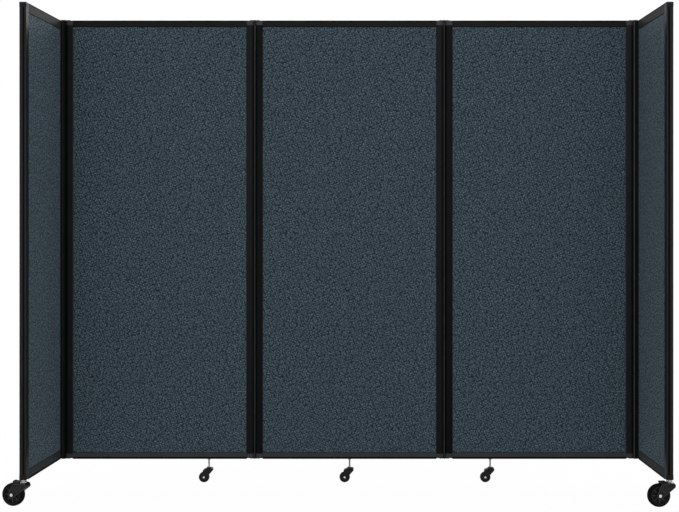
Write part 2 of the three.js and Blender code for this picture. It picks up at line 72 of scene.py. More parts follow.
PANELS = {
    "left": ("left_panel", PITCH, "hinge", "hinge"),
    "centre": ("centre_panel", PITCH, "hinge", "hinge"),
    "right": ("right_panel", PITCH, "hinge", "hinge"),
    "left_wing": ("left_wing", REACH, "end", "hinge"),
    "right_wing": ("right_wing", REACH, "hinge", "end"),
}
WIDE_STARTS = {"left": -1.5, "centre": -0.5, "right": 0.5}      # left ends, in panels from the row's middle


def is_wing(name):
    return name.endswith("wing")


def panel_place(name):
    """Panel space to row space: x along the panel from its left end, z up from its stiles' feet."""
    if not is_wing(name):
        return Matrix.Translation((X0 + WIDE_STARTS[name] * PITCH, Y0, GAP))
    side = -1 if name == "left_wing" else 1
    pivot = Matrix.Translation((X0 + side * (1.5 * PITCH + CORNER + PIVOT), Y0, GAP))
    turn = Matrix.Rotation(-side * (math.pi / 2 - SPLAY), 4, "Z")
    local = PIVOT if side > 0 else REACH - PIVOT
    return pivot @ turn @ Matrix.Translation((-local, 0, 0))


def inner_heights(name):
    """Where the bottom rail ends and the top rail starts."""
    top, bottom = WING_RAILS if is_wing(name) else WIDE_RAILS
    return bottom - RAIL_DROP, HEIGHT - top


def inner_edges(name):
    """Where the left stile ends and the right stile starts."""
    _, length, left, right = PANELS[name]
    x0 = FACE + (SEAM if left == "hinge" else 0)
    x1 = length - FACE - (SEAM if right == "hinge" else 0)
    return x0, x1


# Material helpers

def new_material(name):
    m = bpy.data.materials.new(name)
    m.use_nodes = True
    t = m.node_tree
    t.nodes.clear()
    out = t.nodes.new("ShaderNodeOutputMaterial")
    bsdf = t.nodes.new("ShaderNodeBsdfPrincipled")
    t.links.new(bsdf.outputs["BSDF"], out.inputs["Surface"])
    return m, t, bsdf


def math_node(t, operation, a, b=None):
    n = t.nodes.new("ShaderNodeMath")
    n.operation = operation
    for i, v in enumerate((a, b)):
        if v is None:
            continue
        if isinstance(v, (int, float)):
            n.inputs[i].default_value = v
        else:
            t.links.new(v, n.inputs[i])
    return n.outputs[0]


def times(t, a, b):
    return math_node(t, "MULTIPLY", a, b)


def plus(t, a, b):
    return math_node(t, "ADD", a, b)


def wave(t, value, factor):
    return math_node(t, "SINE", times(t, value, factor))


def coords(t, kind="Object", scale=(1, 1, 1), turn=0.0):
    tex = t.nodes.new("ShaderNodeTexCoord")
    m = t.nodes.new("ShaderNodeMapping")
    m.inputs["Scale"].default_value = scale
    m.inputs["Rotation"].default_value = (0, 0, turn)
    t.links.new(tex.outputs[kind], m.inputs["Vector"])
    return m.outputs["Vector"]


def parted(t, vector):
    split = t.nodes.new("ShaderNodeSeparateXYZ")
    t.links.new(vector, split.inputs[0])
    return split.outputs


def noise(t, vector, scale, detail, rough=0.55, output="Fac"):
    n = t.nodes.new("ShaderNodeTexNoise")
    n.inputs["Scale"].default_value = scale
    n.inputs["Detail"].default_value = detail
    n.inputs["Roughness"].default_value = rough
    t.links.new(vector, n.inputs["Vector"])
    return n.outputs[output]


def ramp(t, value, stops):
    n = t.nodes.new("ShaderNodeValToRGB")
    while len(n.color_ramp.elements) < len(stops):
        n.color_ramp.elements.new(0.5)
    for e, (place, colour) in zip(n.color_ramp.elements, stops):
        e.position = place
        e.color = (*colour, 1)
    t.links.new(value, n.inputs["Fac"])
    return n.outputs["Color"]


def spread(t, value, low, high):
    """Maps 0 to 1 onto low to high."""
    n = t.nodes.new("ShaderNodeMapRange")
    n.inputs["To Min"].default_value = low
    n.inputs["To Max"].default_value = high
    t.links.new(value, n.inputs["Value"])
    return n.outputs["Result"]


def blend_by(t, factor, a, b):
    n = t.nodes.new("ShaderNodeMix")
    t.links.new(factor, n.inputs[0])
    t.links.new(a, n.inputs[2])
    t.links.new(b, n.inputs[3])
    return n.outputs[0]


def bump(t, bsdf, height, distance, strength, under=None):
    n = t.nodes.new("ShaderNodeBump")
    n.inputs["Strength"].default_value = strength
    n.inputs["Distance"].default_value = distance
    t.links.new(height, n.inputs["Height"])
    if under is not None:
        t.links.new(under, n.inputs["Normal"])
    t.links.new(n.outputs["Normal"], bsdf.inputs["Normal"])
    return n.outputs["Normal"]


# Metals and plastics: a colour between two shades, and a roughness between two values

def clouded(t, bsdf, value, dark, light, light_at=0.72):
    t.links.new(ramp(t, value, [(0.3, dark), (light_at, light)]), bsdf.inputs["Base Color"])


def coated_metal(name, dark, light, rough_low, rough_high, shine):
    """Powder coat: fine orange peel, faint scuffs and slow changes of gloss."""
    m, t, bsdf = new_material(name)
    at = coords(t)
    slow = noise(t, at, 9, 3)
    fine = noise(t, at, 620, 2)
    scuff = noise(t, coords(t, scale=(1, 1, 0.08)), 170, 4, 0.6)
    clouded(t, bsdf, slow, dark, light)
    mixed = plus(t, times(t, slow, 0.5), times(t, scuff, 0.5))
    t.links.new(spread(t, mixed, rough_low, rough_high), bsdf.inputs["Roughness"])
    first = bump(t, bsdf, fine, 0.00012, 0.35)
    bump(t, bsdf, scuff, 0.00005, 0.25, first)
    bsdf.inputs["Specular IOR Level"].default_value = shine
    return m


def moulded(name, dark, light, rough_low, rough_high, shine=0.2, grain=900, depth=0.00008):
    """Plastic, rubber or board: fine texture, with slow changes of colour and gloss."""
    m, t, bsdf = new_material(name)
    at = coords(t)
    slow = noise(t, at, 24, 3)
    fine = noise(t, at, grain, 3, 0.6)
    clouded(t, bsdf, slow, dark, light)
    t.links.new(spread(t, fine, rough_low, rough_high), bsdf.inputs["Roughness"])
    bump(t, bsdf, fine, depth, 0.4)
    bsdf.inputs["Specular IOR Level"].default_value = shine
    return m


def plated(name, thread=0.0, low=0.48, high=0.68, metallic=1.0):
    """Bright plate, with faint clouding, and fine thread rings where thread is their pitch."""
    m, t, bsdf = new_material(name)
    at = coords(t)
    cloud = noise(t, at, 60, 4, 0.6)
    dark, light = ((v, v + 0.01, v + 0.02) for v in (low, high))
    clouded(t, bsdf, cloud, dark, light, 0.7)
    t.links.new(spread(t, cloud, 0.22, 0.4), bsdf.inputs["Roughness"])
    bsdf.inputs["Metallic"].default_value = metallic
    first = bump(t, bsdf, noise(t, coords(t, scale=(1, 1, 0.2)), 700, 2), 0.00004, 0.3)
    if thread:
        ring = wave(t, parted(t, at)["Z"], 2 * math.pi / thread)
        bump(t, bsdf, ring, 0.0003, 0.8, first)
    return m


# Cloth

THREAD = 0.0014                 # pitch of the weave
SLUBS = 220                     # changes of shade along a thread, in a metre
FLECK_FIELDS = ((105, 0.45), (97, 1.2))     # flecks in a metre, and turn of their rows
FLECK_REACH = 0.022             # how far the flecks wander
FLECK_WAVE = 0.045              # over what distance they wander
FLECK_SHARE = 0.64              # shares in the cloth's shade
THREAD_SHARE = 0.16
FINE_SHARE = 0.18
MOTTLE_SHARE = 0.06
BLUES = [
    (0.30, (0.008, 0.014, 0.0185)),
    (0.42, (0.024, 0.038, 0.0493)),
    (0.56, (0.056, 0.083, 0.1037)),
    (0.70, (0.112, 0.155, 0.188)),
    (0.83, (0.190, 0.245, 0.2875)),
]


def cells(t, vector, randomness):
    """Irregular cells of about one unit: a random value for each, and how far away its middle is."""
    n = t.nodes.new("ShaderNodeTexVoronoi")
    n.voronoi_dimensions = "2D"
    n.inputs["Scale"].default_value = 1.0
    n.inputs["Randomness"].default_value = randomness
    t.links.new(vector, n.inputs["Vector"])
    split = t.nodes.new("ShaderNodeSeparateColor")
    t.links.new(n.outputs["Color"], split.inputs[0])
    return split.outputs[0], n.outputs["Distance"]


def wandering(t, scale, turn):
    """UVs turned, counted in cells, and pushed to and fro, so that no row of cells shows."""
    at = coords(t, "UV", turn=turn)
    drift = noise(t, at, 1 / FLECK_WAVE, 3.0, 0.62, "Color")
    moved = t.nodes.new("ShaderNodeVectorMath")
    moved.operation = "MULTIPLY_ADD"
    moved.inputs[1].default_value = (FLECK_REACH, FLECK_REACH, 0)
    t.links.new(drift, moved.inputs[0])
    t.links.new(at, moved.inputs[2])
    sized = t.nodes.new("ShaderNodeVectorMath")
    sized.operation = "SCALE"
    sized.inputs["Scale"].default_value = scale
    t.links.new(moved.outputs[0], sized.inputs[0])
    return sized.outputs[0]


def cloth(name, contrast, gain):
    """Heather weave: mottled flecks and slubbed threads of several blue greys, from UVs in metres."""
    m, t, bsdf = new_material(name)
    uv = parted(t, coords(t, "UV"))
    wave_u = wave(t, uv["X"], math.pi / THREAD)
    wave_v = wave(t, uv["Y"], math.pi / THREAD)
    over = math_node(t, "GREATER_THAN", times(t, wave_u, wave_v), 0.0)
    warp, _ = cells(t, coords(t, "UV", (1 / THREAD, SLUBS, 1)), 0.7)
    weft, _ = cells(t, coords(t, "UV", (SLUBS, 1 / THREAD, 1)), 0.7)
    threads = blend_by(t, over, warp, weft)
    (speck, away), (other, beyond) = (cells(t, wandering(t, *field), 0.5) for field in FLECK_FIELDS)
    dots = times(t, plus(t, spread(t, away, 1.0, -0.25), spread(t, beyond, 1.0, -0.25)), 0.5)
    shade = plus(t, times(t, plus(t, speck, other), 0.1), 0.9)
    flecks = times(t, dots, shade)
    mottle, _ = cells(t, coords(t, "UV", (260, 250, 1)), 0.95)
    fine = noise(t, coords(t, "UV", (900, 900, 1)), 1.0, 2, 0.6)
    broad_part = plus(t, times(t, flecks, FLECK_SHARE * contrast), times(t, threads, THREAD_SHARE))
    fine_part = plus(t, times(t, fine, FINE_SHARE), times(t, mottle, MOTTLE_SHARE))
    value = plus(t, plus(t, broad_part, fine_part), 0.30 - FLECK_SHARE / 2 * contrast)
    colour = ramp(t, value, [(place, tuple(c * gain for c in blue)) for place, blue in BLUES])
    t.links.new(colour, bsdf.inputs["Base Color"])
    t.links.new(spread(t, flecks, 0.82, 0.98), bsdf.inputs["Roughness"])
    raised = blend_by(t, over, math_node(t, "ABSOLUTE", wave_u), math_node(t, "ABSOLUTE", wave_v))
    first = bump(t, bsdf, raised, 0.0003, 0.5)
    bump(t, bsdf, flecks, 0.0003, 0.25, first)
    bsdf.inputs["Specular IOR Level"].default_value = 0.15
    bsdf.inputs["Sheen Weight"].default_value = 0.12
    bsdf.inputs["Sheen Tint"].default_value = (0.66, 0.90, 1.0, 1)
    bsdf.inputs["Sheen Roughness"].default_value = 0.5
    return m


# Finishes: the darkest and lightest colour, the lowest and highest roughness, and the shine

COATS = {
    "frame": ((0.0037, 0.0037, 0.0036), (0.0059, 0.0058, 0.0057), 0.36, 0.54, 0.09),
    # Next: a darker copy of the frame coat, painted shade on the stiles just right of the seams
    "shaded_frame": ((0.0021, 0.0021, 0.0021), (0.0033, 0.0033, 0.0033), 0.4, 0.58, 0.07),
    # Next two: lighter copies of the frame coat, painted light on the stiles in the shaded corners
    "lit_left_corner": ((0.0056, 0.0055, 0.0055), (0.0088, 0.0087, 0.0086), 0.36, 0.54, 0.1),
    "lit_right_corner": ((0.0090, 0.0088, 0.0087), (0.0138, 0.0136, 0.0134), 0.36, 0.54, 0.1),
    # Next: a lighter copy of the frame coat, painted light on the wings' end stiles
    "lit_end_frame": ((0.0096, 0.0096, 0.0098), (0.0150, 0.0150, 0.0153), 0.36, 0.5, 0.15),
    # The bottom rails and the wings' rails take lighter copies of the rail coat
    "rail": ((0.0046, 0.0047, 0.0049), (0.0070, 0.0071, 0.0074), 0.4, 0.58, 0.1),
    "low_rail": ((0.032, 0.0325, 0.0335), (0.043, 0.0435, 0.0445), 0.42, 0.6, 0.15),
    "wing_rail": ((0.028, 0.028, 0.0295), (0.037, 0.037, 0.0385), 0.5, 0.68, 0.06),
    "wing_low_rail": ((0.035, 0.035, 0.037), (0.046, 0.046, 0.048), 0.5, 0.68, 0.06),
}
MATERIALS = {finish: coated_metal(f"{finish}_coat", *values) for finish, values in COATS.items()}

# The same for moulded pieces, after their name, and then the grain and its depth where they differ

MOULDINGS = {
    # Light strips on the links' webs: painted highlights along the seams and at the right corner
    "seam_highlight": ("seam_highlight_strip", (0.046, 0.046, 0.0435), (0.060, 0.060, 0.0575), 0.6, 0.75, 0.08),
    "corner_highlight": ("corner_highlight_strip", (0.054, 0.054, 0.051), (0.072, 0.072, 0.068), 0.35, 0.5, 0.3),
    "link": ("link_plastic", (0.0020, 0.0020, 0.0022), (0.004, 0.004, 0.0043), 0.4, 0.6, 0.1),
    # Grey strip on the left corner link's web: painted highlight at the left corner
    "link_highlight_grey": ("link_edge_highlight_plastic", (0.012, 0.012, 0.012), (0.018, 0.018, 0.018), 0.4, 0.6),
    "core": ("core_board", (0.26, 0.22, 0.16), (0.36, 0.31, 0.24), 0.8, 0.95, 0.2, 300, 0.0002),
    "fork": ("fork_plastic", (0.0050, 0.0050, 0.0052), (0.0090, 0.0090, 0.0094), 0.22, 0.36, 0.3),
    "wheel": ("wheel_plastic", (0.0060, 0.0060, 0.0062), (0.0110, 0.0110, 0.0113), 0.26, 0.42),
    "tyre": (
        "tyre_rubber", (0.0014, 0.0014, 0.0015), (0.0028, 0.0028, 0.0029), 0.42, 0.6, 0.08, 500, 0.00012,
    ),
    # Next: a lighter copy of the caster plastics for ribs and hub covers, painted highlights
    "rib": ("lit_rib_plastic", (0.034, 0.034, 0.035), (0.050, 0.050, 0.051), 0.24, 0.4, 0.45),
    "cap": ("cap_plastic", (0.030, 0.030, 0.032), (0.044, 0.044, 0.046), 0.38, 0.55),
    # Next: a darker copy of the cap plastic, painted shade on the wings' caps
    "shaded_cap": (
        "shaded_cap_plastic", (0.0060, 0.0060, 0.0062), (0.0095, 0.0095, 0.0098), 0.38, 0.55, 0.15,
    ),
    "pedal": ("pedal_plastic", (0.012, 0.012, 0.013), (0.020, 0.020, 0.021), 0.3, 0.45, 0.4),
    "piping": ("piping_rubber", (0.030, 0.038, 0.043), (0.046, 0.056, 0.063), 0.6, 0.8, 0.1),
    # Next: black used as painted shade, on the beads' top runs, the rails' edges and the end grooves
    "gasket": ("painted_shade_black", (0.0015, 0.0015, 0.0016), (0.0028, 0.0028, 0.0030), 0.5, 0.75, 0.06),
}
MATERIALS.update({finish: moulded(*values) for finish, values in MOULDINGS.items()})
MATERIALS.update({
    "fabric": cloth("panel_cloth", 1.02, 1.05),
    "wing_fabric": cloth("wing_cloth", 1.35, 1.0),
    "steel": plated("zinc_plate"),
    "stem": plated("zinc_stem", 0.00125),
    # Axle heads: a real nickel plate made near white and only partly metallic, so part of their brightness is
    # a painted highlight
    "axle": plated("axle_nickel_painted_highlight", 0.0, 0.86, 0.95, 0.3),
})


# Mesh helpers

def finish_mesh(name, verts, faces, material, smooth=True, uvs=None):
    mesh = bpy.data.meshes.new(name)
    mesh.from_pydata([tuple(v) for v in verts], [], faces)
    mesh.materials.append(MATERIALS[material])
    if uvs is not None:
        layer = mesh.uv_layers.new(name="UVMap")
        for loop in mesh.loops:
            layer.data[loop.index].uv = uvs[loop.vertex_index]
    for p in mesh.polygons:
        p.use_smooth = smooth
    mesh.update()
    obj = bpy.data.objects.new(name, mesh)
    bpy.context.collection.objects.link(obj)
    return obj


def settled(obj, body, merge=0.00001):
    """Joins doubled points, turns the faces outward, and names what the piece rides on."""
    bm = bmesh.new()
    bm.from_mesh(obj.data)
    bmesh.ops.remove_doubles(bm, verts=bm.verts, dist=merge)
    bmesh.ops.recalc_face_normals(bm, faces=bm.faces)
    bm.to_mesh(obj.data)
    bm.free()
    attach(obj, body)


def bevelled(obj, width, angle=35):
    b = obj.modifiers.new("soft_edges", "BEVEL")
    b.width = width
    b.segments = 2
    b.limit_method = "ANGLE"
    b.angle_limit = math.radians(angle)


class Build:
    """Collects points and faces for one mesh."""

    def __init__(self):
        self.verts = []
        self.faces = []

    def loops(self, loops, closed_path=False, cap=True):
        """Joins rings of points, each with the same count, into a skin."""
        first = len(self.verts)
        n = len(loops[0])
        for ring in loops:
            self.verts += [Vector(p) for p in ring]
        count = len(loops)
        for i in range(count if closed_path else count - 1):
            here = first + i * n
            there = first + (i + 1) % count * n
            for k in range(n):
                m = (k + 1) % n
                self.faces.append((here + k, here + m, there + m, there + k))
        if cap and not closed_path:
            self.faces.append(tuple(first + k for k in reversed(range(n))))
            self.faces.append(tuple(first + (count - 1) * n + k for k in range(n)))

    def moved(self, matrix):
        self.verts = [matrix @ v for v in self.verts]
        return self

    def add(self, other, matrix=Matrix.Identity(4)):
        first = len(self.verts)
        self.verts += [matrix @ v for v in other.verts]
        self.faces += [tuple(first + i for i in f) for f in other.faces]

    def object(self, name, material, smooth=True):
        return finish_mesh(name, self.verts, self.faces, material, smooth)


def arc(cx, cy, r, start, end, sides):
    turns = [start + (end - start) * i / sides for i in range(sides + 1)]
    return [(cx + r * math.cos(a), cy + r * math.sin(a)) for a in turns]


def turned(profile, sides, axis="Z"):
    """Profile of (radius, distance) pairs, closed on itself, turned about an axis."""
    b = Build()
    rings = []
    for i in range(sides):
        a = 2 * math.pi * i / sides
        c, s = math.cos(a), math.sin(a)
        if axis == "Z":
            rings.append([(r * c, r * s, d) for r, d in profile])
        else:
            rings.append([(r * s, d, r * c) for r, d in profile])
    b.loops(rings, closed_path=True)
    return b


# Fabric sleeve, stretched round the core and tucked into the frame's slots

BEAD = 0.0006                   # flat edge of the cloth beside the frame
CLOTH_HALF = 0.0037             # half its thickness there
PADDING = 0.0091                # how far it swells beyond that
PAD_ROUND = 0.0028              # over what distance it swells
RIPPLE = 0.00018
RIPPLE_REACH = 0.08
TUCK = 0.0005                   # room that it leaves in the slots
FLECK_STRETCH = 1.5             # how far the wings' flecks are drawn out along the panel
EDGE_STEPS = (-0.001, 0.0008, 0.0014, 0.0018, 0.0026, 0.0040, 0.0060, 0.0085, 0.0115, 0.018, 0.032)
CLOTH_COLUMNS = 26
CLOTH_ROWS = 60


def rounded(distance, reach):
    """Quarter of an ellipse, from 0 at the edge to 1 at the reach."""
    x = max(0.0, min(1.0, distance / reach))
    return math.sqrt(x * (2 - x))


def graded(tucked_low, low, high, tucked_high, count):
    """Lines across the cloth: close together at its edges and even between them."""
    inner = EDGE_STEPS[-1]
    near = [low + step for step in EDGE_STEPS]
    middle = [low + inner + (high - low - 2 * inner) * i / count for i in range(1, count)]
    far = [high - step for step in reversed(EDGE_STEPS)]
    return [tucked_low] + near + middle + far + [tucked_high]


def fabric_tube(name):
    x0, x1 = inner_edges(name)
    z0, z1 = inner_heights(name)
    a0, a1 = x0 - INSET + TUCK, x1 + INSET - TUCK
    low, high = z0 - INSET + TUCK, z1 + INSET - TUCK
    columns = graded(a0, x0, x1, a1, CLOTH_COLUMNS)
    rows = graded(low, z0, z1, high, CLOTH_ROWS)
    phase = sum(ord(c) for c in name) * 0.37

    def half(x, z):
        """Half its thickness: padded within the frame, with a slow ripple in radians a metre."""
        inside = min(x - x0, x1 - x, z - z0, z1 - z)
        ripple = math.sin(x * 9.1 + phase) * math.cos(z * 5.3 + phase)
        ripple += 0.6 * math.sin(x * 21 + z * 3 + phase)
        swell = PADDING * rounded(inside - BEAD, PAD_ROUND)
        return CLOTH_HALF + swell + RIPPLE * ripple * rounded(inside, RIPPLE_REACH)

    place = panel_place(name)
    verts, uvs, faces = [], [], []
    wide = a1 - a0
    across = len(columns) * 2
    stretch = FLECK_STRETCH if is_wing(name) else 1.0
    for z in rows:
        for x in columns:
            verts.append(place @ Vector((x, -half(x, z), z)))
            uvs.append((x / stretch, z))
        for x in reversed(columns):
            verts.append(place @ Vector((x, half(x, z), z)))
            uvs.append(((2 * wide - x) / stretch, z))
    for j in range(len(rows) - 1):
        for i in range(across):
            k = (i + 1) % across
            faces.append((j * across + i, j * across + k, (j + 1) * across + k, (j + 1) * across + i))
    finish = "wing_fabric" if is_wing(name) else "fabric"
    obj = finish_mesh(f"{name}_cloth", verts, faces, finish, True, uvs)
    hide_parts(f"{name}_fabric")
    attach(obj, PANELS[name][0])


# Rubber bead that holds the fabric in its slots, on both faces; along the top it is broader and black,
# painted shade under the top rail

BEAD_PROFILE = [
    (0.0, 0.0), (0.0008, 0.0002), (0.0010, 0.0050), (0.0010, 0.0084), (0.0006, 0.0089), (0.0, 0.0090),
]
BEAD_BASE = 0.0042              # from the panel's middle plane
TOP_BEAD_SHARE = 3.0
BEAD_EASE = 0.0002


def gasket(name):
    x0, x1 = inner_edges(name)
    z0, z1 = inner_heights(name)
    whole = Build()
    for side in (-1, 1):
        base = side * BEAD_BASE
        rings = []
        for sx, sz in ((1, 1), (-1, 1), (-1, -1), (1, -1)):
            cx = x0 if sx > 0 else x1
            cz = z0 if sz > 0 else z1
            grow = TOP_BEAD_SHARE if sz < 0 else 1.0
            rings.append([(cx + sx * d, base + side * h, cz + sz * grow * d) for d, h in BEAD_PROFILE])
        b = Build()
        b.loops(rings, closed_path=True)
        whole.add(b)
    obj = whole.moved(panel_place(name)).object(f"{name}_bead", "piping", False)
    # The top run of each bead takes the black: painted shade under the top rail
    obj.data.materials.append(MATERIALS["gasket"])
    run = len(BEAD_PROFILE)
    for p in obj.data.polygons:
        if p.index % (4 * run) in range(2 * run, 3 * run):
            p.material_index = 1
    bevelled(obj, BEAD_EASE, 20)
    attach(obj, PANELS[name][0])


# Moulded caps on the ends of the stiles

CAP_SKIN = 0.0003               # how far a cap stands proud of the stile's sides
CAP_WALL = 0.0010
CAP_DEPTH = 0.020
CAP_LIFT = 0.00012              # how far its lid stands proud of the stile's end
PIN_HOLE = 0.0040
END_ROUND = 0.0035              # radius of an end stile's outer edges
INNER_EASE = 0.0012             # chamfer of a stile's inner edges


def stile_outline(kind, grow):
    h = THICK / 2 + grow
    if kind == "hinge":
        edge = SEAM + FACE
        points = arc(PIVOT, 0, NOSE + grow, math.pi / 2, 1.5 * math.pi, 24)
        hole = arc(PIVOT, 0, PIN_HOLE, 0, 2 * math.pi, 24)[:-1]
    else:
        edge = FACE
        r = END_ROUND
        points = arc(r, h - r, r + grow, math.pi / 2, math.pi, 8)
        points += arc(r, r - h, r + grow, math.pi, 1.5 * math.pi, 8)
        hole = None
    eased = edge - INNER_EASE
    points += [(eased, -h), (edge, INNER_EASE - h), (edge, h - INNER_EASE), (eased, h)]
    return points, hole


def stile_cap(points, inner, hole, top):
    """One cap: a skirt round the stile, an eased edge, and a lid with a hole for the pin."""
    end = HEIGHT + CAP_LIFT if top else -CAP_LIFT
    inward = -1 if top else 1
    b = Build()
    rings = [
        [(x, y, end + inward * CAP_DEPTH) for x, y in inner],
        [(x, y, end + inward * CAP_DEPTH) for x, y in points],
        [(x, y, end + inward * CAP_WALL) for x, y in points],
        [(x + (px - x) * 0.6, y + (py - y) * 0.6, end) for (x, y), (px, py) in zip(points, inner)],
    ]
    b.loops(rings, cap=False)
    loops = [[Vector((x, y, 0)) for x, y, _ in rings[-1]]]
    if hole:
        loops.append([Vector((x, y, 0)) for x, y in hole])
    first = len(b.verts)
    b.verts += [Vector((p.x, p.y, end)) for loop in loops for p in loop]
    b.faces += [tuple(first + i for i in tri) for tri in tessellate_polygon(loops)]
    return b


def stile_caps(name):
    body, length, left, right = PANELS[name]
    whole = Build()
    for kind, flip in ((left, False), (right, True)):
        for top in (True, False):
            points, hole = stile_outline(kind, CAP_SKIN)
            inner, _ = stile_outline(kind, CAP_SKIN - CAP_WALL)
            if flip:
                points = [(length - x, y) for x, y in reversed(points)]
                inner = [(length - x, y) for x, y in reversed(inner)]
                hole = [(length - x, y) for x, y in reversed(hole)] if hole else None
            whole.add(stile_cap(points, inner, hole, top))
    # The wings' caps take the darker copy: painted shade
    finish = "shaded_cap" if is_wing(name) else "cap"
    obj = whole.moved(panel_place(name)).object(f"{name}_stile_caps", finish, False)
    settled(obj, body, 0.00002)


# Dark strip over the outer edge of each rail, down both faces: painted shade along the rails' outer edges

SHADE_SKIN = 0.00045             # how far it stands proud of the rail
SHADE_EASE = 0.0008
SHADE_TURN = 0.0006              # where its faces start to turn
SHADE_CORE = 0.0012
SHADE_LIP = 0.0004               # slope at the end of each lip
SHADE_PLAY = 0.0004              # from the stiles
EDGE_SHADES = ((HEIGHT, -1, 0.0050), (-RAIL_DROP, 1, 0.0085))     # outer edge, way inward, reach of the lips


def edge_shade_strip(name):
    x0, x1 = inner_edges(name)
    half = RAIL_THICK / 2
    skin, ease, core = SHADE_SKIN, SHADE_EASE, SHADE_CORE
    whole = Build()
    for end, inward, lip in EDGE_SHADES:
        profile = [
            (-half, lip), (-half - skin, lip - SHADE_LIP), (-half - skin, SHADE_TURN), (-half + ease, -skin),
            (half - ease, -skin), (half + skin, SHADE_TURN), (half + skin, lip - SHADE_LIP), (half, lip),
            (half, core), (half - core, 0.0), (core - half, 0.0), (-half, core),
        ]
        rings = [[(x, y, end + inward * d) for y, d in profile] for x in (x0 + SHADE_PLAY, x1 - SHADE_PLAY)]
        b = Build()
        b.loops(rings)
        whole.add(b)
    # Black strips: painted shade
    obj = whole.moved(panel_place(name)).object(f"{name}_edge_shade_strip", "gasket", False)
    settled(obj, PANELS[name][0])


# Black strip in the groove of each wing's end stile: painted shade in the groove

GROOVE_SHADE = [
    (0.0023, -0.0078), (0.0012, -0.0078), (0.0008, -0.0070),
    (0.0008, -0.0010), (0.0012, -0.0002), (0.0023, -0.0002),
]
GROOVE_SHADE_END = 0.0206             # where it stops, clear of the caps


def end_groove_shade(name):
    body, length, _, right = PANELS[name]
    ring = [(length - x, y) for x, y in GROOVE_SHADE] if right == "end" else GROOVE_SHADE
    b = Build()
    b.loops([[(x, y, z) for x, y in ring] for z in (GROOVE_SHADE_END, HEIGHT - GROOVE_SHADE_END)])
    # Black strip: painted shade
    obj = b.moved(panel_place(name)).object(f"{name}_end_groove_shade", "gasket", False)
    settled(obj, body)


for panel in PANELS:
    fabric_tube(panel)
    gasket(panel)
    stile_caps(panel)
    edge_shade_strip(panel)
    if is_wing(panel):
        end_groove_shade(panel)


# Shapes shared by both sizes of caster

def ring_points(radius, sides):
    turns = [2 * math.pi * i / sides for i in range(sides)]
    return [(radius * math.cos(a), radius * math.sin(a)) for a in turns]


NUT_CORNER_SHARE = 0.93         # how far an eased corner reaches
NUT_EASE = 0.0007


def hex_nut(across_flats, bottom, top, bore):
    """Hex nut about z, with its corners eased at both ends."""
    b = Build()
    corner = across_flats / 2 / math.cos(math.pi / 6)
    sides = 48
    levels = (
        (bottom, NUT_CORNER_SHARE), (bottom + NUT_EASE, 1.0), (top - NUT_EASE, 1.0), (top, NUT_CORNER_SHARE),
    )
    rings = []
    for level, grow in levels:
        ring = []
        for i in range(sides):
            a = 2 * math.pi * i / sides
            wedge = (a + math.pi / 6) % (math.pi / 3) - math.pi / 6
            flat = across_flats / 2 / math.cos(wedge)
            r = min(flat, corner * grow)
            ring.append((r * math.cos(a), r * math.sin(a), level))
        rings.append(ring)
    inner = ring_points(bore, sides)
    rings = [[(x, y, bottom) for x, y in inner]] + rings + [[(x, y, top) for x, y in inner]]
    b.loops(rings, closed_path=True)
    return b


RIM_EASE = 0.0003


def rim(inner, outer, near, far, sides=40, axis="Y"):
    """Flat ring with eased outer edges."""
    profile = [
        (inner, near), (outer - RIM_EASE, near), (outer, near + RIM_EASE),
        (outer, far - RIM_EASE), (outer - RIM_EASE, far), (inner, far),
    ]
    return turned(profile, sides, axis)


def ring_at(level, size, sides):
    """Flat ring about z: its radii, and its foot and top from a level."""
    inner, outer, foot, top = size
    return rim(inner, outer, level + foot, level + top, sides, "Z")


def rims_beside(out, size, place):
    """The same flat ring on both sides of a wheel: its radii, and its foot and face from out."""
    inner, outer, foot, face = size
    b = Build()
    for side in (-1, 1):
        near, far = sorted((side * (out + foot), side * (out + face)))
        b.add(rim(inner, outer, near, far), place)
    return b


def tread_lines(middles, radii, halves, sides, place):
    """Low ribs round a wheel: the radius and the half width of their foot and of their crown."""
    b = Build()
    (low, high), (foot, crown) = radii, halves
    for y in middles:
        profile = [(low, y - foot), (high, y - crown), (high, y + crown), (low, y + foot)]
        b.add(turned(profile, sides, "Y"), place)
    return b


def dome(radius, base, height):
    """Low domed head about z, on a short straight edge."""
    b = Build()
    sides, steps = 28, 5
    rings = [[(x, y, base) for x, y in ring_points(radius, sides)]]
    for i in range(steps):
        a = math.pi / 2 * i / steps
        level = base + height * (0.3 + 0.7 * math.sin(a))
        rings.append([(x, y, level) for x, y in ring_points(radius * math.cos(a), sides)])
    b.loops(rings)
    return b


def bar(x0, x1, half, z0, z1, ease=0.0004):
    """Straight rib along x with eased long edges."""
    b = Build()
    ring = [
        (-half, z0), (-half, z1 - ease), (ease - half, z1), (half - ease, z1), (half, z1 - ease), (half, z0),
    ]
    b.loops([[(x, y, z) for y, z in ring] for x in (x0, x1)])
    return b


def hull_outline(circles, shrink):
    """Outline round a set of circles of x, z and radius, each made smaller by shrink."""
    points = []
    for c, s in ring_points(1, 60):
        x, z, r = max(circles, key=lambda k: k[0] * c + k[1] * s + k[2])
        points.append((x + (r - shrink) * c, z + (r - shrink) * s))
    return points


Y_UP = Matrix.Rotation(-math.pi / 2, 4, "X")
TURNS = {"left_wing": math.radians(-14), "right_wing": math.radians(9)}


def caster_place(name):
    """Caster space to row space: the stem's axis is z, the floor is z = 0 and the wheel trails towards -x."""
    low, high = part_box(f"{name}_caster_stem")
    middle = Matrix.Translation(((low[0] + high[0]) / 2, (low[1] + high[1]) / 2, 0))
    return middle @ Matrix.Rotation(TURNS.get(name, 0.0), 4, "Z")


# Small casters, with the sizes of their solids

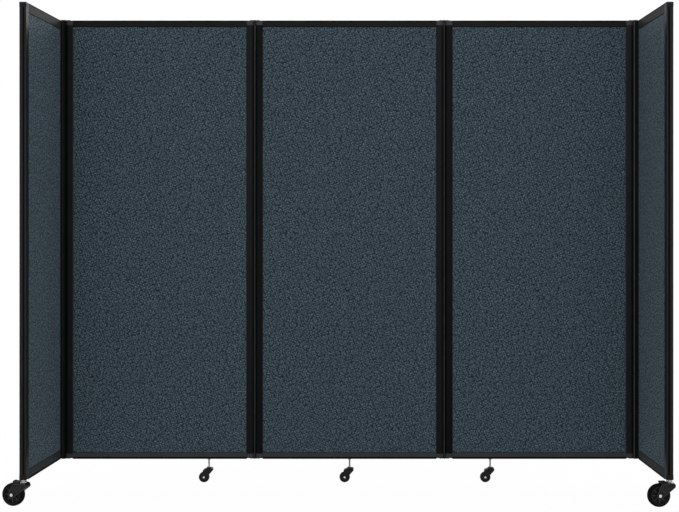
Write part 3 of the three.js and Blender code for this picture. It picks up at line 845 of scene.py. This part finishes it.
SMALL_TRAIL = 0.0216            # from the stem's axis to the axle
SMALL_RADIUS = 0.023
SMALL_FORK_TOP = 0.065
SMALL_HALF = 0.018 / 2 + 0.0008 + 0.0026    # half the fork's width: half a wheel, its play and a cheek
SMALL_BORE = 0.0034             # round the stem
SMALL_NUT = 0.0128              # across its flats
SWIVEL_NUT = (0.0003, 0.0048)   # foot and top of a nut, from the fork's top
RAIL_NUT = (-0.0052, -0.0004)   # the same from the rail's underside
SMALL_WASHER = (SMALL_BORE, 0.0092, -0.0012, -0.0001)   # radii, foot and top, from the rail's underside
SMALL_RING = (SMALL_BORE, 0.0105, -0.0006, 0.0014)      # the same from the fork's top
SMALL_AXLE_WASHER = (0.0045, 0.0060, -0.0001, 0.0009)   # radii, foot and face, from the fork's side
SMALL_TREAD = ((-0.0035, 0.0035), (0.0225, 0.0231), (0.0012, 0.0007))   # middles, radii, half widths
SMALL_HUB = 0.0074              # from the wheel's middle to the foot of its hub cover
HUB_COVER = ((0.0068, 0.0), (0.0126, 0.0), (0.0124, 0.0005), (0.0070, 0.0011))


def small_caster_details(name):
    place = caster_place(name)
    body, head, roller = PANELS[name][0], f"{name}_caster_head", f"{name}_caster_roller"
    rail_low = GAP - RAIL_DROP

    nuts = Build()
    for level, ends in ((SMALL_FORK_TOP, SWIVEL_NUT), (rail_low, RAIL_NUT)):
        bottom, top = (level + end for end in ends)
        nuts.add(hex_nut(SMALL_NUT, bottom, top, SMALL_BORE))
    settled(nuts.moved(place).object(f"{name}_stem_nuts", "steel"), body)

    washer = ring_at(rail_low, SMALL_WASHER, 36)
    settled(washer.moved(place).object(f"{name}_stem_washer", "steel"), body)

    bearing = ring_at(SMALL_FORK_TOP, SMALL_RING, 36)
    settled(bearing.moved(place).object(f"{name}_swivel_ring", "wheel"), head)

    axle = Matrix.Translation((-SMALL_TRAIL, 0, SMALL_RADIUS))
    washers = rims_beside(SMALL_HALF, SMALL_AXLE_WASHER, axle)
    settled(washers.moved(place).object(f"{name}_axle_washers", "link"), head)

    tread = tread_lines(*SMALL_TREAD, 56, axle)
    settled(tread.moved(place).object(f"{name}_tread_lines", "tyre"), roller)

    covers = Build()
    for side in (-1, 1):
        profile = [(r, side * SMALL_HUB + side * rise) for r, rise in HUB_COVER]
        covers.add(turned(profile, 40, "Y"), axle)
    # Hub covers in the lighter rib plastic: painted highlights
    settled(covers.moved(place).object(f"{name}_hub_covers", "rib"), roller)


# Large casters, with the sizes of their solids

LARGE_TRAIL = 0.045
LARGE_RADIUS = 0.0465
LARGE_FORK_TOP = 0.097
LARGE_HALF = 0.026 / 2 + 0.001 + 0.0036
LARGE_NUT = 0.0205
LARGE_NUT_BORE = 0.0094
LARGE_NUT_FOOT = 0.0024         # from the fork's top
LARGE_NUT_PLAY = 0.0002         # from the stiles' feet
LARGE_RACE = (0.0128, 0.0152, -0.0004, 0.0014)          # radii, foot and top, from the fork's top
LARGE_AXLE_WASHER = (0.0064, 0.0092, -0.0001, 0.0012)   # radii, foot and face, from the fork's side
HUB_RING = (0.0046, 0.0105, 0.0128, 0.0136)             # the same from the wheel's middle
LARGE_TREAD = ((-0.0055, 0.0, 0.0055), (0.0457, 0.0465), (0.0014, 0.0008))
SPOKES = 8
SPOKE = (0.0115, 0.0332, 0.0016, 0.0036, 0.0085)    # inner and outer end, half width, foot and crown
HALF_TYRE = [
    (0.0379, -0.0119), (0.0400, -0.0129), (0.0432, -0.0129),
    (0.0450, -0.0118), (0.0459, -0.0094), (0.0462, -0.0058),
]
PEDAL_PIVOT = (-0.022, 0, 0.097)
PEDAL_LIFT = math.radians(8)
GRIPS = 4
GRIP_START = -0.0185            # from the pedal's pivot
GRIP_STEP = 0.0036
GRIP_HALF = 0.0094              # half the length of a grip
GRIP = (0.0006, 0.0034, 0.0049, 0.0003)     # half width, foot, crown and ease
FORK_RIB = (0.0008, -0.0003, 0.0009, 0.0002)
FORK_WALL = ((0.0014, -0.0003), (0.0017, 0.0009), (0.0035, 0.0009), (0.0038, -0.0003))  # inset and rise
FORK_CIRCLES = ((-LARGE_TRAIL, LARGE_RADIUS, 0.014), (-0.035, 0.085, 0.008), (0.009, 0.085, 0.012))
FORK_RIBS = (
    ((-0.040, 0.062), (-0.031, 0.083)),
    ((-0.034, 0.059), (-0.018, 0.084)),
    ((-0.029, 0.056), (-0.002, 0.082)),
)


def wheel_ribs(axle):
    ribs = Build()
    for side in (-1, 1):
        stand = Y_UP if side > 0 else Y_UP @ Matrix.Rotation(math.pi, 4, "X")
        for i in range(SPOKES):
            turn = Matrix.Rotation(2 * math.pi * i / SPOKES, 4, "Y")
            ribs.add(bar(*SPOKE), axle @ turn @ stand)
    return ribs


def pedal_grips():
    pedal = Matrix.Translation(PEDAL_PIVOT) @ Matrix.Rotation(PEDAL_LIFT, 4, "Y")
    grips = Build()
    for i in range(GRIPS):
        x = GRIP_START + GRIP_STEP * i
        grip = bar(-GRIP_HALF, GRIP_HALF, *GRIP)
        grips.add(grip, pedal @ Matrix.Translation((x, 0, 0)) @ Matrix.Rotation(math.pi / 2, 4, "Z"))
    return grips


def fork_ribs():
    """Raised rim round each cheek of the fork, and the ribs inside it."""
    ribs = Build()
    for side in (-1, 1):
        b = Build()
        wall = [(inset, side * (LARGE_HALF + rise)) for inset, rise in FORK_WALL]
        rings = [[(x, y, z) for x, z in hull_outline(FORK_CIRCLES, inset)] for inset, y in wall]
        b.loops(rings, closed_path=True)
        ribs.add(b)
        stand = Y_UP if side > 0 else Matrix.Rotation(math.pi / 2, 4, "X")
        for (xa, za), (xb, zb) in FORK_RIBS:
            rise, run = zb - za, xb - xa
            lean = Matrix.Rotation(math.atan2(run, rise) - math.pi / 2, 4, "Y")
            rib = bar(0, math.hypot(run, rise), *FORK_RIB)
            ribs.add(rib, Matrix.Translation((xa, side * LARGE_HALF, za)) @ lean @ stand)
    return ribs


def large_caster_details(name):
    place = caster_place(name)
    body, head, roller = PANELS[name][0], f"{name}_caster_head", f"{name}_caster_roller"

    nut = hex_nut(LARGE_NUT, LARGE_FORK_TOP + LARGE_NUT_FOOT, GAP - LARGE_NUT_PLAY, LARGE_NUT_BORE)
    settled(nut.moved(place).object(f"{name}_stem_nut", "steel"), body)

    race = ring_at(LARGE_FORK_TOP, LARGE_RACE, 48)
    settled(race.moved(place).object(f"{name}_swivel_race", "steel"), head)

    axle = Matrix.Translation((-LARGE_TRAIL, 0, LARGE_RADIUS))
    washers = rims_beside(LARGE_HALF, LARGE_AXLE_WASHER, axle)
    settled(washers.moved(place).object(f"{name}_axle_washers", "link"), head)

    # Wheel and fork ribs in the lighter rib plastic: painted highlights
    settled(wheel_ribs(axle).moved(place).object(f"{name}_wheel_ribs", "rib", False), roller)

    hub = rims_beside(0, HUB_RING, axle)
    settled(hub.moved(place).object(f"{name}_hub_rings", "wheel"), roller)

    profile = HALF_TYRE + [(r, -y) for r, y in reversed(HALF_TYRE)]
    tyre = turned(profile, 96, "Y").moved(axle)
    obj = tyre.moved(place).object(f"{name}_round_tyre", "tyre")
    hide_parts(f"{name}_caster_tyre")
    settled(obj, roller)

    tread = tread_lines(*LARGE_TREAD, 72, axle)
    settled(tread.moved(place).object(f"{name}_tread_lines", "tyre"), roller)

    settled(pedal_grips().moved(place).object(f"{name}_pedal_grips", "pedal", False), f"{name}_pedal")

    settled(fork_ribs().moved(place).object(f"{name}_fork_ribs", "rib", False), head)


for panel in PANELS:
    if is_wing(panel):
        large_caster_details(panel)
    else:
        small_caster_details(panel)


# Pin heads on the plates of the hinge links

PLATE_OUT = 0.0033              # from the stiles' ends to a plate's outer face
PIN_HEAD = (0.0040, -0.0002, 0.0016)        # radius, foot and height


def pin_heads(name, middle, span):
    heads = Build()
    for x in (-span / 2, span / 2):
        top = Matrix.Translation((middle + x, Y0, GAP + HEIGHT + PLATE_OUT))
        low = Matrix.Translation((middle + x, Y0, GAP - PLATE_OUT)) @ Matrix.Rotation(math.pi, 4, "X")
        for at in (top, low):
            heads.add(dome(*PIN_HEAD), at)
    settled(heads.object(f"{name}_pin_heads", "link"), f"{name}_body")


# Strip down the front and the back edge of each hinge link's web, narrow enough to clear the turned stiles;
# their light colours are painted highlights along the seams and corners

STRIP_FOOT = 0.0119             # depths from the row's middle plane
STRIP_EDGE = 0.0122
STRIP_FACE = 0.0124
STRIP_EASE = 0.0004
STRIP_PLAY = 0.001              # from the stiles' ends
# Light finishes of the strips: painted highlights
SEAM_STRIP = (-0.00165, 0.00065, "seam_highlight")    # edges from the seam, and finish
CORNER_STRIPS = {"left": (-0.0120, -0.0090, "link_highlight_grey"), "right": (-0.0014, 0.0022, "corner_highlight")}


def seam_strip(name, seam, start, end, finish):
    strip = Build()
    x0, x1 = seam + start, seam + end
    ring = [
        (x0, STRIP_FOOT), (x1, STRIP_FOOT), (x1, STRIP_EDGE),
        (x1 - STRIP_EASE, STRIP_FACE), (x0 + STRIP_EASE, STRIP_FACE), (x0, STRIP_EDGE),
    ]
    levels = (GAP + STRIP_PLAY, GAP + HEIGHT - STRIP_PLAY)
    for side in (-1, 1):
        strip.loops([[(x, Y0 + side * y, z) for x, y in ring] for z in levels])
    settled(strip.object(f"{name}_strip", finish, False), f"{name}_body")


for side, word in ((-1, "left"), (1, "right")):
    seam = X0 + side * PITCH / 2
    corner = X0 + side * 1.5 * PITCH
    seam_strip(f"{word}_link", seam, *SEAM_STRIP)
    seam_strip(f"{word}_corner_link", corner, *CORNER_STRIPS[word])
    pin_heads(f"{word}_link", seam, 2 * PIVOT)
    pin_heads(f"{word}_corner_link", X0 + side * (1.5 * PITCH + CORNER / 2), 2 * PIVOT + CORNER)


# Finishes of the solids that stay, by name or by the end of the name, and their eased edges

OWN_FINISHES = {
    # Lighter copy of the frame coat: painted light on the wings' end stiles
    "left_wing_left_stile": "lit_end_frame",
    "right_wing_right_stile": "lit_end_frame",
    # Darker copy of the frame coat: painted shade
    "centre_left_stile": "shaded_frame",
    "right_left_stile": "shaded_frame",
    # Lighter copies of the frame coat: painted light in the corners
    "left_left_stile": "lit_left_corner",
    "right_right_stile": "lit_right_corner",
}
FINISHES = {
    "stile": "frame",
    "bottom_rail": "low_rail",
    "top_rail": "rail",
    "link": "link",
    "core": "core",
    "fabric": "fabric",
    "stem": "stem",
    "axle": "axle",
    "fork": "fork",
    "pedal": "pedal",
    "tyre": "tyre",
    "wheel": "wheel",
}
EASED = {"fork": 0.0012, "pedal": 0.0008, "stem": 0.0004, "axle": 0.0003, "link": 0.0006, "rail": 0.0004}


def finish_of(name):
    if name in OWN_FINISHES:
        return OWN_FINISHES[name]
    finish = next(finish for ending, finish in FINISHES.items() if name.endswith(ending))
    return f"wing_{finish}" if name.endswith("rail") and "wing" in name else finish


for name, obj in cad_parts.items():
    obj.data.materials.clear()
    obj.data.materials.append(MATERIALS[finish_of(name)])
    for ending, width in EASED.items():
        if name.endswith(ending):
            bevelled(obj, width)

# Camera at the photograph's viewing angle, fitted to the seams, corners and casters

WIDTH, TALL = 679, 512          # of the photograph, in pixels
FOCAL_PIXELS = 1165.85
AXIS_COLUMN, AXIS_ROW = 383.16, 222.53      # where the camera's axis meets the photograph
ASIDE, BACK, EYE = 0.1486, 5.1611, 1.1485   # of the camera, from the row's middle on the floor
SENSOR = 36

camera_data = bpy.data.cameras.new("camera")
camera = bpy.data.objects.new("camera", camera_data)
bpy.context.collection.objects.link(camera)
camera.location = (X0 + ASIDE, Y0 - BACK, EYE)
camera.rotation_euler = (math.radians(90), 0, 0)
camera_data.sensor_width = SENSOR
camera_data.lens = FOCAL_PIXELS / WIDTH * SENSOR
camera_data.shift_x = (WIDTH / 2 - AXIS_COLUMN) / WIDTH
camera_data.shift_y = (AXIS_ROW - TALL / 2) / WIDTH
camera_data.clip_start = 0.05
camera_data.clip_end = 100
bpy.context.scene.camera = camera


# Plain pale floor, nearly white to the camera but with the object's shadow on it

FLOOR_SIZE = 14.0
FLOOR_CELLS = 24


def floor_material():
    m = bpy.data.materials.new("floor_white")
    m.use_nodes = True
    t = m.node_tree
    t.nodes.clear()
    out = t.nodes.new("ShaderNodeOutputMaterial")
    diffuse = t.nodes.new("ShaderNodeBsdfDiffuse")
    diffuse.inputs["Color"].default_value = (0.80, 0.80, 0.80, 1)
    glow = t.nodes.new("ShaderNodeEmission")
    glow.inputs["Color"].default_value = (1, 1, 1, 1)
    glow.inputs["Strength"].default_value = 1.022
    path = t.nodes.new("ShaderNodeLightPath")
    mix = t.nodes.new("ShaderNodeMixShader")
    t.links.new(times(t, path.outputs["Is Camera Ray"], 0.95), mix.inputs[0])
    t.links.new(diffuse.outputs[0], mix.inputs[1])
    t.links.new(glow.outputs[0], mix.inputs[2])
    t.links.new(mix.outputs[0], out.inputs["Surface"])
    return m


def make_floor():
    n = FLOOR_CELLS
    w = n + 1
    steps = [(i / n - 0.5) * FLOOR_SIZE for i in range(w)]
    verts = [(X0 + x, Y0 + y, 0) for y in steps for x in steps]
    corners = [j * w + i for j in range(n) for i in range(n)]
    faces = [(k, k + 1, k + w + 1, k + w) for k in corners]
    mesh = bpy.data.meshes.new("floor")
    mesh.from_pydata(verts, [], faces)
    obj = bpy.data.objects.new("floor", mesh)
    bpy.context.collection.objects.link(obj)
    mesh.materials.append(floor_material())


# World: white to the camera and through glass, and a dimmer pale one that lights the object

def background(t, colour, strength):
    n = t.nodes.new("ShaderNodeBackground")
    n.inputs["Color"].default_value = colour
    n.inputs["Strength"].default_value = strength
    return n.outputs[0]


def make_world():
    world = bpy.data.worlds.new("studio")
    bpy.context.scene.world = world
    world.use_nodes = True
    t = world.node_tree
    t.nodes.clear()
    out = t.nodes.new("ShaderNodeOutputWorld")
    path = t.nodes.new("ShaderNodeLightPath")
    seen = math_node(t, "MAXIMUM", path.outputs["Is Camera Ray"], path.outputs["Is Transmission Ray"])
    mix = t.nodes.new("ShaderNodeMixShader")
    t.links.new(seen, mix.inputs[0])
    t.links.new(background(t, (0.95, 0.97, 1.0, 1), 0.40), mix.inputs[1])
    t.links.new(background(t, (1, 1, 1, 1), 1.0), mix.inputs[2])
    t.links.new(mix.outputs[0], out.inputs["Surface"])


# Soft lamps: place and target from the row's middle on the floor, size and power

LAMPS = {
    "key": ((1.6, -9.6, 3.2), (0, 0, 1.0), (4.0, 3.0), 165),
    "fill": ((-2.6, -9.4, 1.8), (0, 0, 1.0), (4.0, 3.0), 122),
    "right_side": ((9.0, -1.8, 1.6), (-1.2, -0.25, 1.0), (1.5, 2.5), 190),
    "left_side": ((-9.0, -1.8, 1.6), (1.2, -0.25, 1.0), (1.5, 2.5), 155),
    "back": ((1.0, 9.4, 5.5), (0, 0, 1.0), (4.0, 3.0), 330),
}


def area_light(name, place, target, size, power):
    data = bpy.data.lights.new(name, "AREA")
    data.shape = "RECTANGLE"
    data.size, data.size_y = size
    data.energy = power
    obj = bpy.data.objects.new(name, data)
    bpy.context.collection.objects.link(obj)
    start, end = (Vector((X0 + x, Y0 + y, z)) for x, y, z in (place, target))
    obj.location = start
    obj.rotation_euler = (end - start).to_track_quat("-Z", "Y").to_euler()


make_floor()
make_world()
for name, values in LAMPS.items():
    area_light(name, *values)

bpy.context.scene.view_settings.view_transform = "Standard"
